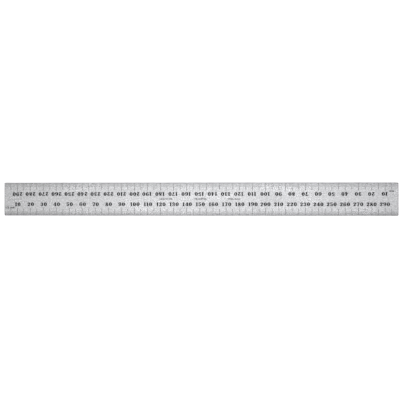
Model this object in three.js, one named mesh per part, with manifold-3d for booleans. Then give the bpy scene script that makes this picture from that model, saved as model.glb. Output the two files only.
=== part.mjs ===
// A 300 mm steel rule, lying on its back face with its length along X. Each long edge of each face
// carries a scale, and the lower scale of the front face starts at the -X end.
//
// The rule is one flat strip of hardened steel. The lines of its scales are cut into the steel and
// filled with black enamel. Turning the rule by half a turn about any of its three axes brings one
// scale to the place of another, so one scale's fill is modelled once, along the lower edge of the
// front face, and turned into the other places.
//
// The longest lines and the ones halfway between them are here. A hairline of enamel along the edge
// joins the lines of one scale, which makes each scale's fill one body.

import * as THREE from "three";
import { mergeVertices } from "three/addons/utils/BufferGeometryUtils.js";
import Module from "manifold-3d";

const wasm = await Module();
wasm.setup();

// The strip, in millimetres.
const LENGTH = 300; // end to end, which is also the span of every scale
const WIDTH = 25;
const THICKNESS = 1.2;
const CORNER_RADIUS = 0.4; // seen from above
const EDGE_BREAK = 0.16; // chamfer round both faces

// The lines of a scale. Their lengths are measured in from the edge of the strip.
const LONG_LINE_PITCH = 10; // a shorter, middle line stands halfway between two long ones
const LONG_LINE_LENGTH = 6;
const MIDDLE_LINE_LENGTH = 5.2;
const LINE_WIDTH = 0.28;
const LINE_DEPTH = 0.1;
const HAIRLINE_WIDTH = 0.18; // the enamel along the edge that joins the lines, from the chamfer inwards

// How the enamel sits in its cut.
const FILL_CLEARANCE = 0.01; // between the enamel and the sides and floor of the cut
const OVERRUN = 0.5; // how far a cutting shape runs out past the surface that it cuts

const steel = new THREE.MeshStandardMaterial({ color: 0xc4c5c7, roughness: 0.38, metalness: 1 });
const blackEnamel = new THREE.MeshStandardMaterial({ color: 0x17181a, roughness: 0.6, metalness: 0 });

function toSolid(geometry) {
  const bare = geometry.clone().deleteAttribute("normal").deleteAttribute("uv");
  const closed = mergeVertices(bare);
  return new wasm.Manifold(
    new wasm.Mesh({
      numProp: 3,
      vertProperties: closed.attributes.position.array,
      triVerts: new Uint32Array(closed.index.array),
    }),
  );
}

function toGeometry(solid) {
  const mesh = solid.getMesh();
  const geometry = new THREE.BufferGeometry();
  geometry.setAttribute("position", new THREE.BufferAttribute(mesh.vertProperties, 3));
  geometry.setIndex(new THREE.BufferAttribute(mesh.triVerts, 1));
  geometry.computeVertexNormals();
  return geometry;
}

// The strip before its lines are cut: a rectangle with rounded corners and a chamfer round both faces.
// The outline is drawn a chamfer's width inside the strip, because the bevel carries it back out.
function makeBlank() {
  const right = LENGTH / 2 - EDGE_BREAK;
  const top = WIDTH / 2 - EDGE_BREAK;
  const radius = CORNER_RADIUS - EDGE_BREAK;
  const outline = new THREE.Shape();
  outline.absarc(right - radius, top - radius, radius, 0, Math.PI / 2);
  outline.absarc(radius - right, top - radius, radius, Math.PI / 2, Math.PI);
  outline.absarc(radius - right, radius - top, radius, Math.PI, 1.5 * Math.PI);
  outline.absarc(right - radius, radius - top, radius, 1.5 * Math.PI, 2 * Math.PI);
  const blank = new THREE.ExtrudeGeometry(outline, {
    depth: THICKNESS - 2 * EDGE_BREAK,
    bevelThickness: EDGE_BREAK,
    bevelSize: EDGE_BREAK,
    bevelSegments: 1,
    curveSegments: 4,
  });
  return blank.translate(0, 0, EDGE_BREAK);
}

// The lines along the lower edge of the front face, as a comb whose back lies along the edge. The
// comb is larger than the enamel by margin on every side that faces steel, and it overruns the rest.
// A line is left out where it would run off the end of the strip or into its rounded corner.
function makeComb(margin) {
  const edge = -WIDTH / 2;
  const halfWidth = LINE_WIDTH / 2 + margin;
  const hairline = edge + EDGE_BREAK + HAIRLINE_WIDTH + margin;
  const pitch = LONG_LINE_PITCH / 2;
  const lastLine = Math.floor((LENGTH - CORNER_RADIUS - LINE_WIDTH / 2) / pitch);
  const lineX = (index) => index * pitch - LENGTH / 2;

  const outline = new THREE.Shape();
  outline.moveTo(lineX(1) - halfWidth, edge - OVERRUN);
  outline.lineTo(lineX(lastLine) + halfWidth, edge - OVERRUN);
  for (let index = lastLine; index >= 1; index -= 1) {
    const tip = edge + (index % 2 === 0 ? LONG_LINE_LENGTH : MIDDLE_LINE_LENGTH) + margin;
    if (index < lastLine) {
      outline.lineTo(lineX(index) + halfWidth, hairline);
    }
    outline.lineTo(lineX(index) + halfWidth, tip);
    outline.lineTo(lineX(index) - halfWidth, tip);
    if (index > 1) {
      outline.lineTo(lineX(index) - halfWidth, hairline);
    }
  }
  const comb = new THREE.ExtrudeGeometry(outline, {
    depth: LINE_DEPTH + margin + OVERRUN,
    bevelEnabled: false,
  });
  return comb.translate(0, 0, THICKNESS - LINE_DEPTH - margin);
}

// The four places of a scale, each a half turn away from the lower edge of the front face.
const PLACES = {
  front_lower_scale_fill: { turn: [0, 0, 0], lift: 0 },
  front_upper_scale_fill: { turn: [0, 0, Math.PI], lift: 0 },
  back_lower_scale_fill: { turn: [Math.PI, 0, 0], lift: THICKNESS },
  back_upper_scale_fill: { turn: [0, Math.PI, 0], lift: THICKNESS },
};

function putInPlace(object, { turn, lift }) {
  object.rotation.set(...turn);
  object.position.z = lift;
  object.updateMatrix();
  return object;
}

const blank = toSolid(makeBlank());
const cutter = makeComb(FILL_CLEARANCE);
let bladeSolid = blank;
for (const place of Object.values(PLACES)) {
  const { matrix } = putInPlace(new THREE.Object3D(), place);
  bladeSolid = bladeSolid.subtract(toSolid(cutter.clone().applyMatrix4(matrix)));
}
const fillGeometry = toGeometry(toSolid(makeComb(0)).intersect(blank));

const rule = new THREE.Group();
const blade = new THREE.Mesh(toGeometry(bladeSolid), steel);
blade.name = "blade";
rule.add(blade);
for (const [name, place] of Object.entries(PLACES)) {
  const fill = new THREE.Mesh(fillGeometry, blackEnamel);
  fill.name = name;
  rule.add(putInPlace(fill, place));
}

export default rule;
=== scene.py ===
"""A 300 mm steel rule with etched, black-filled scales, lying on a pale floor.

Lengths are in metres. Scales are laid out from the lower edge of the front face, with zero at the -X
end, and then turned into their four places.
"""

import math

import bpy
from mathutils import Matrix, Vector


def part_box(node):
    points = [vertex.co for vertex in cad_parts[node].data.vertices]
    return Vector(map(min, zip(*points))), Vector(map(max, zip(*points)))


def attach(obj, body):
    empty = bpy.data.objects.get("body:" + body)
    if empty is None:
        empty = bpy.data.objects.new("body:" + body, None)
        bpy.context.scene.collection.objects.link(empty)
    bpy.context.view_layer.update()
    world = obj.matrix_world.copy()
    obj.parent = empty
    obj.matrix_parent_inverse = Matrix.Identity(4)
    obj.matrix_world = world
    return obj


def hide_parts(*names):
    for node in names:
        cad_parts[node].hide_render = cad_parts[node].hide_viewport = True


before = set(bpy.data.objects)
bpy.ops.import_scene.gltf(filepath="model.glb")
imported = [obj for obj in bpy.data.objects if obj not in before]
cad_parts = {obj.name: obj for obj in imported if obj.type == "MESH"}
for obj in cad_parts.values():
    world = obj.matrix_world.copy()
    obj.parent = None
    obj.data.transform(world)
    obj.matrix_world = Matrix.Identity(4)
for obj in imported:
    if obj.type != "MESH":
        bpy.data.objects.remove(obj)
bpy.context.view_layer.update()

MM = 0.001

# ---------------------------------------------------------------- sizes taken from the frame

strip_low, strip_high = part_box("blade")
fill_low, fill_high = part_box("front_lower_scale_fill")

TOP = strip_high.z
ZERO_END = strip_low.x
LOWER_EDGE = strip_low.y
LENGTH_IN_MM = round((strip_high.x - strip_low.x) / MM)
CUT_DEPTH = fill_high.z - fill_low.z
CENTIMETRE_LINE_LENGTH = fill_high.y - strip_low.y

# ---------------------------------------------------------------- sizes set here

CORNER_RADIUS = 0.4 * MM
EDGE_BREAK = 0.16 * MM
ENAMEL_RECESS = 0.02 * MM  # how far the enamel lies below the steel
OVERRUN = 0.3 * MM  # how far a cutting shape runs out past the surface that it cuts
FLAT_ENOUGH = 0.99  # a face is part of the two broad ones if its normal is at least this upright

FIVE_LINE_LENGTH = CENTIMETRE_LINE_LENGTH - 0.8 * MM
MILLIMETRE_LINE_LENGTH = 3.2 * MM
HALF_LINE_LENGTH = 1.95 * MM
LONG_LINE_WIDTH = 0.28 * MM
MILLIMETRE_LINE_WIDTH = 0.17 * MM
HALF_LINE_WIDTH = 0.13 * MM

FIGURE_HEIGHT = 2.9 * MM
FIGURE_BREADTH = 3.4 * MM  # a figure's outline is widened as if it stood this high
FIGURE_CENTRE = 8.6 * MM  # in from the edge that the scale runs along
FIGURE_GAP = 0.085 * FIGURE_BREADTH  # between two figures of a number

# How far the middle of a number stands past its line, in the direction that the scale counts.
PAST_LINE_BELOW_100 = 0.3 * MM
PAST_LINE_BELOW_200 = 0.4 * MM
PAST_LINE_FROM_200 = -0.2 * MM

UNIT_MARK_HEIGHT = 1.6 * MM
UNIT_MARK_THICKENING = 0.075 * MM
INSCRIPTION_HEIGHT = 1.35 * MM
INSCRIPTION_THICKENING = 0.03 * MM
LETTER_SHARE = 0.73  # a capital's height as a share of the lettering's size

# The inscription: its words, where the middle of each stands along the lower scale in millimetres,
# and how widely its letters are spaced.
INSCRIPTION = (
    ("LENGTH 300", 124.1, 0.95),
    ("MILLIMETRE", 150.5, 0.95),
    ("STEEL RULE", 176.0, 1.0),
)

FLOOR_SIZE = 6.0


# ---------------------------------------------------------------- handling pieces


def select_only(*pieces):
    """Selects these objects alone, and makes the first of them active."""
    bpy.ops.object.select_all(action="DESELECT")
    for piece in pieces:
        piece.select_set(True)
    bpy.context.view_layer.objects.active = pieces[0]


def apply_place(piece):
    """Moves a piece's place, turn and size into its mesh."""
    select_only(piece)
    bpy.ops.object.transform_apply(location=True, rotation=True, scale=True)


def apply_modifier(piece, kind, **settings):
    """Adds one modifier to a piece and applies it."""
    select_only(piece)
    modifier = piece.modifiers.new(kind.lower(), kind)
    for name, value in settings.items():
        setattr(modifier, name, value)
    bpy.ops.object.modifier_apply(modifier=modifier.name)


def combine(piece, other, operation):
    """Joins other to a solid piece, cuts it away or keeps what they share."""
    apply_modifier(piece, "BOOLEAN", object=other, operation=operation, solver="MANIFOLD")


def copied(piece):
    """A copy of a piece with a mesh of its own."""
    copy = piece.copy()
    copy.data = piece.data.copy()
    bpy.context.collection.objects.link(copy)
    return copy


def joined(pieces):
    """Several pieces as one object, each keeping its own closed surface."""
    select_only(*pieces)
    bpy.ops.object.join()
    return bpy.context.object


def remove(*pieces):
    for piece in pieces:
        bpy.data.objects.remove(piece)


def dress(piece, *materials):
    """Gives a piece these materials and no others."""
    piece.data.materials.clear()
    for material in materials:
        piece.data.materials.append(material)


def merge_and_turn_out(piece):
    """Merges a mesh's doubled points and turns its faces outwards."""
    select_only(piece)
    bpy.ops.object.mode_set(mode="EDIT")
    bpy.ops.mesh.select_all(action="SELECT")
    bpy.ops.mesh.remove_doubles(threshold=0.001 * MM)
    bpy.ops.mesh.normals_make_consistent(inside=False)
    bpy.ops.object.mode_set(mode="OBJECT")


def add_block(low, high):
    """A closed block between two corners."""
    low, high = Vector(low), Vector(high)
    bpy.ops.object.select_all(action="DESELECT")
    bpy.ops.mesh.primitive_cube_add(size=1, location=(low + high) / 2)
    block = bpy.context.object
    block.scale = high - low
    apply_place(block)
    return block


# ---------------------------------------------------------------- the strip


def add_strip(inset):
    """The strip without its marks: rounded corners, and a small rounding round both faces.

    With an inset it is smaller by that much on every side, and its roundings keep their centres.
    """
    margin = Vector((inset, inset, inset))
    strip = add_block(strip_low + margin, strip_high - margin)
    bpy.ops.object.mode_set(mode="EDIT")
    bpy.ops.mesh.select_all(action="DESELECT")
    bpy.ops.object.mode_set(mode="OBJECT")
    for edge in strip.data.edges:
        start, end = (strip.data.vertices[i].co for i in edge.vertices)
        edge.select = abs(end.z - start.z) > strip_high.z / 2
    bpy.ops.object.mode_set(mode="EDIT")
    bpy.ops.mesh.bevel(offset=CORNER_RADIUS - inset, segments=6, affect="EDGES")
    bpy.ops.object.mode_set(mode="OBJECT")
    apply_modifier(
        strip,
        "BEVEL",
        width=EDGE_BREAK - inset,
        segments=3,
        limit_method="ANGLE",
        angle_limit=math.radians(60),
    )
    return strip


# ---------------------------------------------------------------- lines


def add_lines(starts, pitch, length, width):
    """The cutting shapes of one kind of line: one line at each start, repeated at the pitch.

    The starts and the pitch are in millimetres along the scale.
    """
    lines = []
    for start in starts:
        x = ZERO_END + start * MM
        low = (x - width / 2, LOWER_EDGE - OVERRUN, TOP - CUT_DEPTH)
        high = (x + width / 2, LOWER_EDGE + length, TOP + OVERRUN)
        lines.append(add_block(low, high))
    row = joined(lines)
    apply_modifier(
        row,
        "ARRAY",
        count=math.ceil((LENGTH_IN_MM - starts[-1]) / pitch),
        use_relative_offset=False,
        use_constant_offset=True,
        constant_offset_displace=(pitch * MM, 0, 0),
    )
    return row


# ---------------------------------------------------------------- figures

# Each figure is drawn as a type founder's fat face: strokes that swell and thin, ball ends and thin
# feet. A stroke is the points that its middle runs through, each (x, y, stroke width), and the
# figures are 1 high. A closed stroke is a ring. A ball is (x, y, radius).

STEM = 0.29
THIN = 0.11
RING_POINTS = 8
RING_SWELL = 1.3  # the larger, the sooner a ring thins away from its sides
BALL_POINTS = 10
CURVE_STEPS = (0.0, 0.5)  # where a stroke's curve is worked out between two of its points


def ring(x, y, half_width, half_height, side, cap=THIN):
    """The points of an upright oval ring, thick at its sides and thin at its top and bottom."""
    points = []
    for step in range(RING_POINTS):
        turn = math.tau * step / RING_POINTS
        swell = abs(math.cos(turn)) ** RING_SWELL
        width = cap + (side - cap) * swell
        across = (half_width - side / 2) * math.cos(turn)
        up = (half_height - cap / 2) * math.sin(turn)
        points.append((x + across, y + up, width))
    return points


def half_turned(strokes, balls, width):
    """A figure turned upside down within its width and its height."""
    turned = [
        (closed, [(width - x, 1 - y, w) for x, y, w in points]) for closed, points in strokes
    ]
    return turned, [(width - x, 1 - y, r) for x, y, r in balls]


def figure_outlines():
    """Every figure as (width, strokes, balls), with each stroke as (closed, points)."""
    zero = [(True, ring(0.36, 0.5, 0.36, 0.5, STEM + 0.01))]
    one = [
        (False, [(0.27, 0.02, STEM), (0.27, 1.0, STEM)]),
        (False, [(0.05, 0.045, THIN), (0.49, 0.045, THIN)]),
        (False, [(0.22, 0.92, 0.15), (0.03, 0.79, 0.06)]),
    ]
    two = [
        (
            False,
            [
                (0.075, 0.70, 0.05),
                (0.13, 0.90, 0.07),
                (0.33, 0.95, THIN),
                (0.52, 0.74, STEM),
                (0.42, 0.48, 0.24),
                (0.21, 0.27, 0.14),
                (0.09, 0.12, 0.09),
            ],
        ),
        (False, [(0.06, 0.07, 0.14), (0.24, 0.14, 0.24), (0.46, 0.11, 0.22), (0.64, 0.27, 0.06)]),
    ]
    three = [
        (
            False,
            [
                (0.07, 0.74, 0.05),
                (0.13, 0.90, 0.07),
                (0.31, 0.95, THIN),
                (0.49, 0.76, 0.29),
                (0.38, 0.56, 0.15),
                (0.22, 0.53, 0.08),
            ],
        ),
        (
            False,
            [
                (0.24, 0.53, 0.08),
                (0.41, 0.48, 0.16),
                (0.515, 0.27, STEM + 0.02),
                (0.33, 0.05, THIN),
                (0.13, 0.10, 0.07),
                (0.065, 0.26, 0.05),
            ],
        ),
    ]
    four = [
        (False, [(0.48, 0.02, STEM), (0.48, 1.0, STEM)]),
        (False, [(0.44, 0.95, 0.11), (0.05, 0.31, 0.11)]),
        (False, [(0.0, 0.285, THIN + 0.03), (0.72, 0.285, THIN + 0.03)]),
        (False, [(0.27, 0.045, THIN), (0.69, 0.045, THIN)]),
    ]
    five = [
        (False, [(0.08, 0.89, 0.22), (0.34, 0.89, 0.20), (0.62, 0.92, 0.15)]),
        (False, [(0.12, 0.98, 0.10), (0.12, 0.50, 0.10)]),
        (
            False,
            [
                (0.12, 0.52, 0.08),
                (0.24, 0.60, THIN),
                (0.42, 0.54, 0.20),
                (0.515, 0.32, STEM + 0.02),
                (0.35, 0.05, THIN),
                (0.14, 0.09, 0.07),
                (0.065, 0.25, 0.05),
            ],
        ),
    ]
    six = [
        (True, ring(0.36, 0.31, 0.35, 0.31, STEM - 0.02)),
        (
            False,
            [
                (0.61, 0.78, 0.05),
                (0.55, 0.92, 0.06),
                (0.41, 0.965, THIN),
                (0.20, 0.79, 0.19),
                (0.13, 0.50, STEM),
                (0.14, 0.30, 0.23),
            ],
        ),
    ]
    seven = [
        (False, [(0.07, 0.87, 0.18), (0.26, 0.91, 0.18), (0.46, 0.86, 0.22), (0.64, 0.93, 0.13)]),
        (False, [(0.065, 0.99, 0.08), (0.065, 0.68, 0.08)]),
        (False, [(0.62, 0.92, 0.15), (0.44, 0.57, 0.20), (0.35, 0.28, 0.29), (0.34, 0.01, 0.34)]),
    ]
    eight = [
        (True, ring(0.34, 0.75, 0.28, 0.25, 0.20)),
        (True, ring(0.35, 0.275, 0.35, 0.275, 0.23)),
        (False, [(0.17, 0.76, 0.16), (0.34, 0.52, STEM), (0.54, 0.26, 0.20)]),
    ]
    balls = {
        "2": [(0.17, 0.72, 0.13)],
        "3": [(0.16, 0.755, 0.125), (0.16, 0.25, 0.13)],
        "5": [(0.16, 0.24, 0.13)],
        "6": [(0.54, 0.785, 0.12)],
    }
    figures = {
        "0": (0.72, zero, []),
        "1": (0.51, one, []),
        "2": (0.68, two, balls["2"]),
        "3": (0.68, three, balls["3"]),
        "4": (0.72, four, []),
        "5": (0.68, five, balls["5"]),
        "6": (0.71, six, balls["6"]),
        "7": (0.68, seven, []),
        "8": (0.70, eight, []),
    }
    figures["9"] = (0.71, *half_turned(six, balls["6"], 0.71))
    return figures


def smooth(points, closed):
    """Points on a smooth curve through the given ones, which carries the stroke width along."""
    if len(points) == 2:
        return [Vector(point) for point in points]
    spots = [Vector(point) for point in points]
    count = len(spots)
    curve = []
    for i in range(count if closed else count - 1):
        before = spots[i - 1] if closed or i > 0 else spots[0]
        start = spots[i]
        end = spots[(i + 1) % count]
        after = spots[(i + 2) % count] if closed or i + 2 < count else end
        for t in CURVE_STEPS:
            curve.append(
                0.5
                * (
                    2 * start
                    + (end - before) * t
                    + (2 * before - 5 * start + 4 * end - after) * t**2
                    + (3 * start - before - 3 * end + after) * t**3
                )
            )
    if not closed:
        curve.append(spots[-1])
    return curve


def two_sides(curve, closed):
    """The two sides of a stroke, half its width to the left and to the right of its middle."""
    left, right = [], []
    last = len(curve) - 1
    for i, spot in enumerate(curve):
        ahead = curve[(i + 1) % len(curve)] if closed or i < last else spot
        behind = curve[i - 1] if closed or i > 0 else spot
        along = (ahead - behind).to_2d().normalized()
        across = Vector((-along.y, along.x)) * spot.z / 2
        left.append(spot.to_2d() + across)
        right.append(spot.to_2d() - across)
    return left, right


def add_outline(outlines):
    """The cutting shape of a flat closed shape that is drawn for figures 1 high and 1 broad."""
    curve = bpy.data.curves.new("outline", "CURVE")
    curve.dimensions = "2D"
    curve.fill_mode = "BOTH"
    curve.extrude = (CUT_DEPTH + OVERRUN) / 2
    for outline in outlines:
        spline = curve.splines.new("POLY")
        spline.points.add(len(outline) - 1)
        spline.use_cyclic_u = True
        for point, place in zip(spline.points, outline, strict=True):
            point.co = (place.x * FIGURE_BREADTH, place.y * FIGURE_HEIGHT, 0, 1)
    shape = bpy.data.objects.new("outline", curve)
    bpy.context.collection.objects.link(shape)
    select_only(shape)
    bpy.ops.object.convert(target="MESH")
    shape = bpy.context.object
    merge_and_turn_out(shape)
    return shape


def add_figure(strokes, balls):
    """One figure as a cutting shape, its lower left corner at the origin."""
    shapes = []
    for closed, points in strokes:
        left, right = two_sides(smooth(points, closed), closed)
        outlines = [left, right] if closed else [left + right[::-1]]
        shapes.append(add_outline(outlines))
    for x, y, radius in balls:
        turns = [math.tau * step / BALL_POINTS for step in range(BALL_POINTS)]
        circle = [Vector((x + radius * math.cos(turn), y + radius * math.sin(turn))) for turn in turns]
        shapes.append(add_outline([circle]))
    figure = shapes[0]
    for other in shapes[1:]:
        combine(figure, other, "UNION")
    remove(*shapes[1:])
    return figure


def past_its_line(number):
    """How far the middle of this number stands past its line."""
    if number < 100:
        return PAST_LINE_BELOW_100
    if number < 200:
        return PAST_LINE_BELOW_200
    return PAST_LINE_FROM_200


def add_numbers(figures):
    """The number at every centimetre."""
    placed = []
    for number in range(10, LENGTH_IN_MM, 10):
        text = str(number)
        widths = [figures[character][0] * FIGURE_BREADTH for character in text]
        total = sum(widths) + FIGURE_GAP * (len(text) - 1)
        cursor = ZERO_END + number * MM + past_its_line(number) - total / 2
        for character, width in zip(text, widths, strict=True):
            shape = copied(figures[character][1])
            shape.location = (
                cursor,
                LOWER_EDGE + FIGURE_CENTRE - FIGURE_HEIGHT / 2,
                TOP + (OVERRUN - CUT_DEPTH) / 2,
            )
            placed.append(shape)
            cursor += width + FIGURE_GAP
    numbers = joined(placed)
    apply_place(numbers)
    return numbers


def add_words(text, height, thickening, x, y, spacing=1.0):
    """Small plain lettering as a cutting shape, centred on a point of the front face."""
    bpy.ops.object.select_all(action="DESELECT")
    bpy.ops.object.text_add()
    words = bpy.context.object
    words.data.body = text
    words.data.align_x = "CENTER"
    words.data.align_y = "CENTER"
    words.data.resolution_u = 2
    words.data.size = height / LETTER_SHARE
    words.data.space_character = spacing
    words.data.offset = thickening
    words.data.extrude = (CUT_DEPTH + OVERRUN) / 2
    bpy.ops.object.convert(target="MESH")
    words = bpy.context.object
    merge_and_turn_out(words)
    words.location = (x, y, TOP + (OVERRUN - CUT_DEPTH) / 2)
    apply_place(words)
    return words


def add_unit_mark(text, from_end, from_edge, spacing):
    """The unit's name beside the zero end of a scale, this far in millimetres from the end and the edge."""
    return add_words(
        text,
        UNIT_MARK_HEIGHT,
        UNIT_MARK_THICKENING,
        ZERO_END + from_end * MM,
        LOWER_EDGE + from_edge * MM,
        spacing,
    )


def add_inscription():
    """Plain words along the middle of the front face: the rule's length, its unit and its kind."""
    words = []
    for text, along, spacing in INSCRIPTION:
        x = ZERO_END + along * MM
        words.append(add_words(text, INSCRIPTION_HEIGHT, INSCRIPTION_THICKENING, x, 0, spacing))
    return joined(words)


# ---------------------------------------------------------------- the marks and the steel

# Half turns about Z, X and Y, which carry the front face's lower scale to the other three places.
PLACES = {
    "front_lower": (1, 1, 1),
    "front_upper": (-1, -1, 1),
    "back_lower": (1, -1, -1),
    "back_upper": (-1, 1, -1),
}


def put_in_place(piece, signs):
    """Turns a mark from the front face's lower scale to another place of the strip."""
    middle = Matrix.Translation((0, 0, TOP / 2))
    piece.matrix_world = middle @ Matrix.Diagonal((*signs, 1)) @ middle.inverted() @ piece.matrix_world
    apply_place(piece)


def make_marks():
    """The cutting shape of every mark, by the name of the enamel piece that fills it."""
    figures = {
        name: (width, add_figure(strokes, balls))
        for name, (width, strokes, balls) in figure_outlines().items()
    }
    patterns = {
        "centimetre_lines": add_lines((10,), 10, CENTIMETRE_LINE_LENGTH, LONG_LINE_WIDTH),
        "five_millimetre_lines": add_lines((5,), 10, FIVE_LINE_LENGTH, LONG_LINE_WIDTH),
        "millimetre_lines": add_lines((1, 2, 3, 4), 5, MILLIMETRE_LINE_LENGTH, MILLIMETRE_LINE_WIDTH),
        "half_millimetre_lines": add_lines((0.5,), 1, HALF_LINE_LENGTH, HALF_LINE_WIDTH),
        "figures": add_numbers(figures),
        "unit_mark": add_unit_mark("mm", from_end=5.1, from_edge=6.5, spacing=1.2),
        "half_unit_mark": add_unit_mark("1/2 mm", from_end=4.3, from_edge=6.1, spacing=1.1),
    }
    remove(*(shape for _, shape in figures.values()))
    lower_only = {"half_millimetre_lines", "half_unit_mark"}
    upper_only = {"unit_mark"}
    marks = {}
    for place, signs in PLACES.items():
        skipped = lower_only if place.endswith("upper") else upper_only
        for kind, pattern in patterns.items():
            if kind in skipped:
                continue
            mark = copied(pattern)
            put_in_place(mark, signs)
            marks[f"{place}_{kind}"] = mark
    remove(*patterns.values())
    marks["front_inscription"] = add_inscription()
    return marks


def make_rule():
    """The etched steel blade, and the enamel that fills each kind of mark."""
    marks = make_marks()
    blade = add_strip(0)
    blade.name = "etched_blade"
    dress(blade, satin_steel(), ground_edge())
    # Faces that are not nearly upright take the edge steel, whose darker colour is painted shade.
    for face in blade.data.polygons:
        face.material_index = int(abs(face.normal.z) < FLAT_ENOUGH)
    cutter = joined([copied(mark) for mark in marks.values()])
    combine(blade, cutter, "DIFFERENCE")
    remove(cutter)
    core = add_strip(ENAMEL_RECESS)
    for name, mark in marks.items():
        combine(mark, core, "INTERSECT")
        mark.name = name
    remove(core)
    return blade, marks


# ---------------------------------------------------------------- materials

MOST_OF_A_NOISE = {"From Min": 0.3, "From Max": 0.7}  # nearly all of a noise pattern lies in this range
FINE_RELIEF = 0.01 * MM
# Painted shade along the faces' long edges: how far in it reaches, and how dark it gets.
PAINTED_EDGE_SHADE_WIDTH = 1.6 * MM
PAINTED_EDGE_SHADE = 0.15  # painted shade at the very edge, as a share of the step between the steel's two tones


def linear(hex_colour):
    """An sRGB hex colour as the linear colour that a shader wants."""
    channels = [int(hex_colour[i : i + 2], 16) / 255 for i in (0, 2, 4)]
    return (*(c / 12.92 if c <= 0.04045 else ((c + 0.055) / 1.055) ** 2.4 for c in channels), 1)


def set_inputs(tree, node, inputs):
    """Sets a node's inputs, and links those whose value is the output of another node."""
    for name, value in inputs.items():
        if isinstance(value, bpy.types.NodeSocket):
            tree.links.new(value, node.inputs[name])
        else:
            node.inputs[name].default_value = value


def add_node(tree, kind, output, inputs=None, **settings):
    """Adds a node of this kind with its inputs and settings, and gives back one of its outputs."""
    node = tree.nodes.new("ShaderNode" + kind)
    for name, value in settings.items():
        setattr(node, name, value)
    set_inputs(tree, node, inputs or {})
    return node.outputs[output]


def new_material(name):
    """An empty material, its node tree, its shader and its Object coordinates."""
    material = bpy.data.materials.new(name)
    material.use_nodes = True
    tree = material.node_tree
    place = add_node(tree, "TexCoord", "Object")
    return material, tree, tree.nodes["Principled BSDF"], place


def per_feature(along, across, up):
    """The Mapping scale at which a pattern's features have these sizes in millimetres on each axis."""
    return 1 / (along * MM), 1 / (across * MM), 1 / (up * MM)


def satin_steel():
    """Hardened stainless steel, ground lengthwise and then matted.

    The matting breaks the light into a fine sparkling grain, the grinding draws faint lines along the
    rule, and handling leaves broad, slightly shinier patches. The faces' colour is also painted a
    little darker towards the long edges, as painted shade.
    """
    material, tree, shader, place = new_material("satin_ground_stainless_steel")

    # The grain is really about 0.05 mm, and is drawn coarser to show.
    scale = per_feature(0.75, 0.65, 0.65)
    grain_place = add_node(tree, "Mapping", "Vector", {"Vector": place, "Scale": scale})
    grain = add_node(tree, "TexNoise", "Fac", {"Vector": grain_place, "Scale": 1, "Detail": 3})
    scale = per_feature(9, 0.12, 0.12)
    grinding_place = add_node(tree, "Mapping", "Vector", {"Vector": place, "Scale": scale})
    grinding = add_node(tree, "TexNoise", "Fac", {"Vector": grinding_place, "Scale": 1, "Detail": 2})
    texture_inputs = {"Factor": 0.3, "A": grain, "B": grinding}
    texture = add_node(tree, "Mix", "Result", texture_inputs, data_type="FLOAT")

    # Painted shade: the steel's colour is darkened over the last stretch towards both long edges.
    across = add_node(tree, "SeparateXYZ", "Y", {"Vector": place})
    from_middle = add_node(tree, "Math", "Value", {0: across}, operation="ABSOLUTE")
    painted_edge_shade_inputs = {
        "Value": from_middle,
        "From Min": strip_high.y - PAINTED_EDGE_SHADE_WIDTH,
        "From Max": strip_high.y,
        "To Max": PAINTED_EDGE_SHADE,
    }
    margin = add_node(tree, "MapRange", "Result", painted_edge_shade_inputs)
    tone = add_node(tree, "MapRange", "Result", {"Value": texture, **MOST_OF_A_NOISE})
    lightness = add_node(tree, "Math", "Value", {0: tone, 1: margin}, operation="SUBTRACT")
    colour_inputs = {"Factor": lightness, "A": linear("909091"), "B": linear("EFEFF0")}
    colour = add_node(tree, "Mix", "Result", colour_inputs, data_type="RGBA")

    scale = per_feature(34, 11, 11)
    patches_place = add_node(tree, "Mapping", "Vector", {"Vector": place, "Scale": scale})
    patches = add_node(tree, "TexNoise", "Fac", {"Vector": patches_place, "Scale": 1, "Detail": 4})
    roughness_inputs = {"Value": patches, **MOST_OF_A_NOISE, "To Min": 0.255, "To Max": 0.305}
    roughness = add_node(tree, "MapRange", "Result", roughness_inputs)

    relief_inputs = {"Height": texture, "Strength": 0.25, "Distance": FINE_RELIEF}
    relief = add_node(tree, "Bump", "Normal", relief_inputs)
    finish = {"Metallic": 1, "Base Color": colour, "Roughness": roughness, "Normal": relief}
    set_inputs(tree, shader, finish)
    return material


def ground_edge():
    """The same steel left as ground, round the edges and ends: lined along its length, and painted darker
    as painted shade.
    """
    material, tree, shader, place = new_material("painted_shade_edge_steel")
    scale = per_feature(6, 0.08, 0.06)
    lines_place = add_node(tree, "Mapping", "Vector", {"Vector": place, "Scale": scale})
    lines = add_node(tree, "TexNoise", "Fac", {"Vector": lines_place, "Scale": 1, "Detail": 3})
    tone = add_node(tree, "MapRange", "Result", {"Value": lines, **MOST_OF_A_NOISE})
    # Painted shade: both tones are far darker than the faces' steel, to darken the edges and ends.
    colour_inputs = {"Factor": tone, "A": linear("464648"), "B": linear("686869")}
    colour = add_node(tree, "Mix", "Result", colour_inputs, data_type="RGBA")
    roughness_inputs = {"Value": lines, **MOST_OF_A_NOISE, "To Min": 0.34, "To Max": 0.46}
    roughness = add_node(tree, "MapRange", "Result", roughness_inputs)
    relief_inputs = {"Height": lines, "Strength": 0.4, "Distance": FINE_RELIEF}
    relief = add_node(tree, "Bump", "Normal", relief_inputs)
    finish = {"Metallic": 1, "Base Color": colour, "Roughness": roughness, "Normal": relief}
    set_inputs(tree, shader, finish)
    return material


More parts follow.
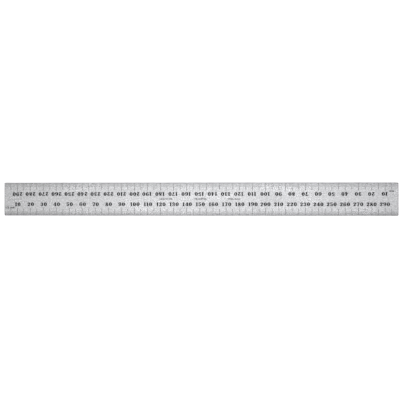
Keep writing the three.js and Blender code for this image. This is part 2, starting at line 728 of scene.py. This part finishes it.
def black_enamel():
    """Black etching enamel, wiped into the marks and baked: dead matt, with greyer worn spots."""
    material, tree, shader, place = new_material("baked_black_enamel")
    scale = per_feature(0.9, 0.9, 0.9)
    wear_place = add_node(tree, "Mapping", "Vector", {"Vector": place, "Scale": scale})
    wear = add_node(tree, "TexNoise", "Fac", {"Vector": wear_place, "Scale": 1, "Detail": 4})
    worn = add_node(tree, "MapRange", "Result", {"Value": wear, "From Min": 0.5, "From Max": 0.8})
    colour_inputs = {"Factor": worn, "A": linear("0E0F10"), "B": linear("2C2D2E")}
    colour = add_node(tree, "Mix", "Result", colour_inputs, data_type="RGBA")
    roughness_inputs = {"Value": wear, **MOST_OF_A_NOISE, "To Min": 0.75, "To Max": 0.6}
    roughness = add_node(tree, "MapRange", "Result", roughness_inputs)
    scale = per_feature(0.06, 0.06, 0.06)
    pits_place = add_node(tree, "Mapping", "Vector", {"Vector": place, "Scale": scale})
    pits = add_node(tree, "TexNoise", "Fac", {"Vector": pits_place, "Scale": 1, "Detail": 2})
    relief_inputs = {"Height": pits, "Strength": 0.3, "Distance": FINE_RELIEF}
    relief = add_node(tree, "Bump", "Normal", relief_inputs)
    finish = {"Specular IOR Level": 0.2, "Base Color": colour, "Roughness": roughness, "Normal": relief}
    set_inputs(tree, shader, finish)
    return material


def opal_acrylic():
    """Opal acrylic sheet, which the rule lies on: matt and white, and lit a little from underneath."""
    material, tree, shader, place = new_material("matt_opal_acrylic")
    scale = per_feature(3, 3, 3)
    cloud_place = add_node(tree, "Mapping", "Vector", {"Vector": place, "Scale": scale})
    clouds = add_node(tree, "TexNoise", "Fac", {"Vector": cloud_place, "Scale": 1, "Detail": 2})
    colour_inputs = {"Factor": clouds, "A": linear("F6F6F6"), "B": linear("FAFAFA")}
    colour = add_node(tree, "Mix", "Result", colour_inputs, data_type="RGBA")
    light = {"Emission Color": linear("FFFFFF"), "Emission Strength": 0.5}
    set_inputs(tree, shader, {"Base Color": colour, "Roughness": 0.8, **light})
    return material


# ---------------------------------------------------------------- putting it together


def register(piece, slot, *nodes):
    """Makes a piece ride on the rule, and hides the CAD nodes that it stands for. The slot is not used."""
    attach(piece, "root")
    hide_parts(*nodes)


def add_floor(material):
    bpy.ops.object.select_all(action="DESELECT")
    bpy.ops.mesh.primitive_plane_add(size=FLOOR_SIZE)
    floor = bpy.context.object
    floor.name = "floor"
    floor.data.materials.append(material)


# The tent's tone at places from -1, at its left, to 1, at its right.
TENT_TONES = (
    (-0.70, (0.40, 0.40, 0.40)),
    (-0.50, (0.09, 0.09, 0.085)),
    (-0.25, (0.09, 0.09, 0.085)),
    (-0.13, (0.88, 0.88, 0.89)),
    (0.07, (0.88, 0.89, 0.91)),
    (0.14, (0.085, 0.08, 0.08)),
    (0.40, (0.085, 0.08, 0.08)),
    (0.60, (0.40, 0.40, 0.40)),
)
TENT_BRIGHTNESS = 2.01


def add_tent():
    """A white studio tent with two dark flags overhead, which shade the ends of the rule."""
    world = bpy.data.worlds.new("studio_tent")
    world.use_nodes = True
    bpy.context.scene.world = world
    tree = world.node_tree
    direction = add_node(tree, "TexCoord", "Generated")
    sideways = add_node(tree, "SeparateXYZ", "X", {"Vector": direction})
    share = add_node(tree, "MapRange", "Result", {"Value": sideways, "From Min": -1.0, "From Max": 1.0})
    tone = add_node(tree, "ValToRGB", "Color", {"Fac": share})
    stops = tone.node.color_ramp.elements
    while len(stops) < len(TENT_TONES):
        stops.new(0.5)
    for stop, (place, colour) in zip(stops, TENT_TONES, strict=True):
        stop.position = (place + 1) / 2
        stop.color = (*colour, 1)
    set_inputs(tree, tree.nodes["Background"], {"Color": tone, "Strength": TENT_BRIGHTNESS})


def add_lamps():
    """Four weak, soft lamps, high up and evenly spaced round the rule."""
    count = 4
    lean = math.radians(48)
    first_turn = math.radians(22.5)
    for step in range(count):
        lamp_data = bpy.data.lights.new("soft_lamp", "SUN")
        lamp_data.energy = 0.15
        lamp_data.angle = math.radians(30)
        lamp = bpy.data.objects.new("soft_lamp", lamp_data)
        bpy.context.collection.objects.link(lamp)
        lamp.rotation_euler = (lean, 0, first_turn + math.tau * step / count)


def add_camera():
    """A long lens high above the rule, leaning a little towards its far end."""
    distance = 1.0
    lean = math.radians(3.26)
    aim = Vector((0.15 * MM, -0.65 * MM, TOP))
    camera_data = bpy.data.cameras.new("camera")
    camera_data.lens = 118.4
    camera = bpy.data.objects.new("camera", camera_data)
    bpy.context.collection.objects.link(camera)
    camera.location = aim + distance * Vector((math.sin(lean), 0, math.cos(lean)))
    camera.rotation_euler = (0, lean, 0)
    bpy.context.scene.camera = camera


blade, marks = make_rule()
register(blade, "steel", "blade")
enamel = black_enamel()
for name, mark in marks.items():
    dress(mark, enamel)
    face, edge = name.split("_")[:2]
    scale_node = f"{face}_{edge}_scale_fill"
    replaced = [scale_node] if scale_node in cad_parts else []  # the inscription has no CAD node
    register(mark, "black_fill", *replaced)
add_floor(opal_acrylic())
add_tent()
add_lamps()
add_camera()
bpy.context.scene.view_settings.view_transform = "Standard"
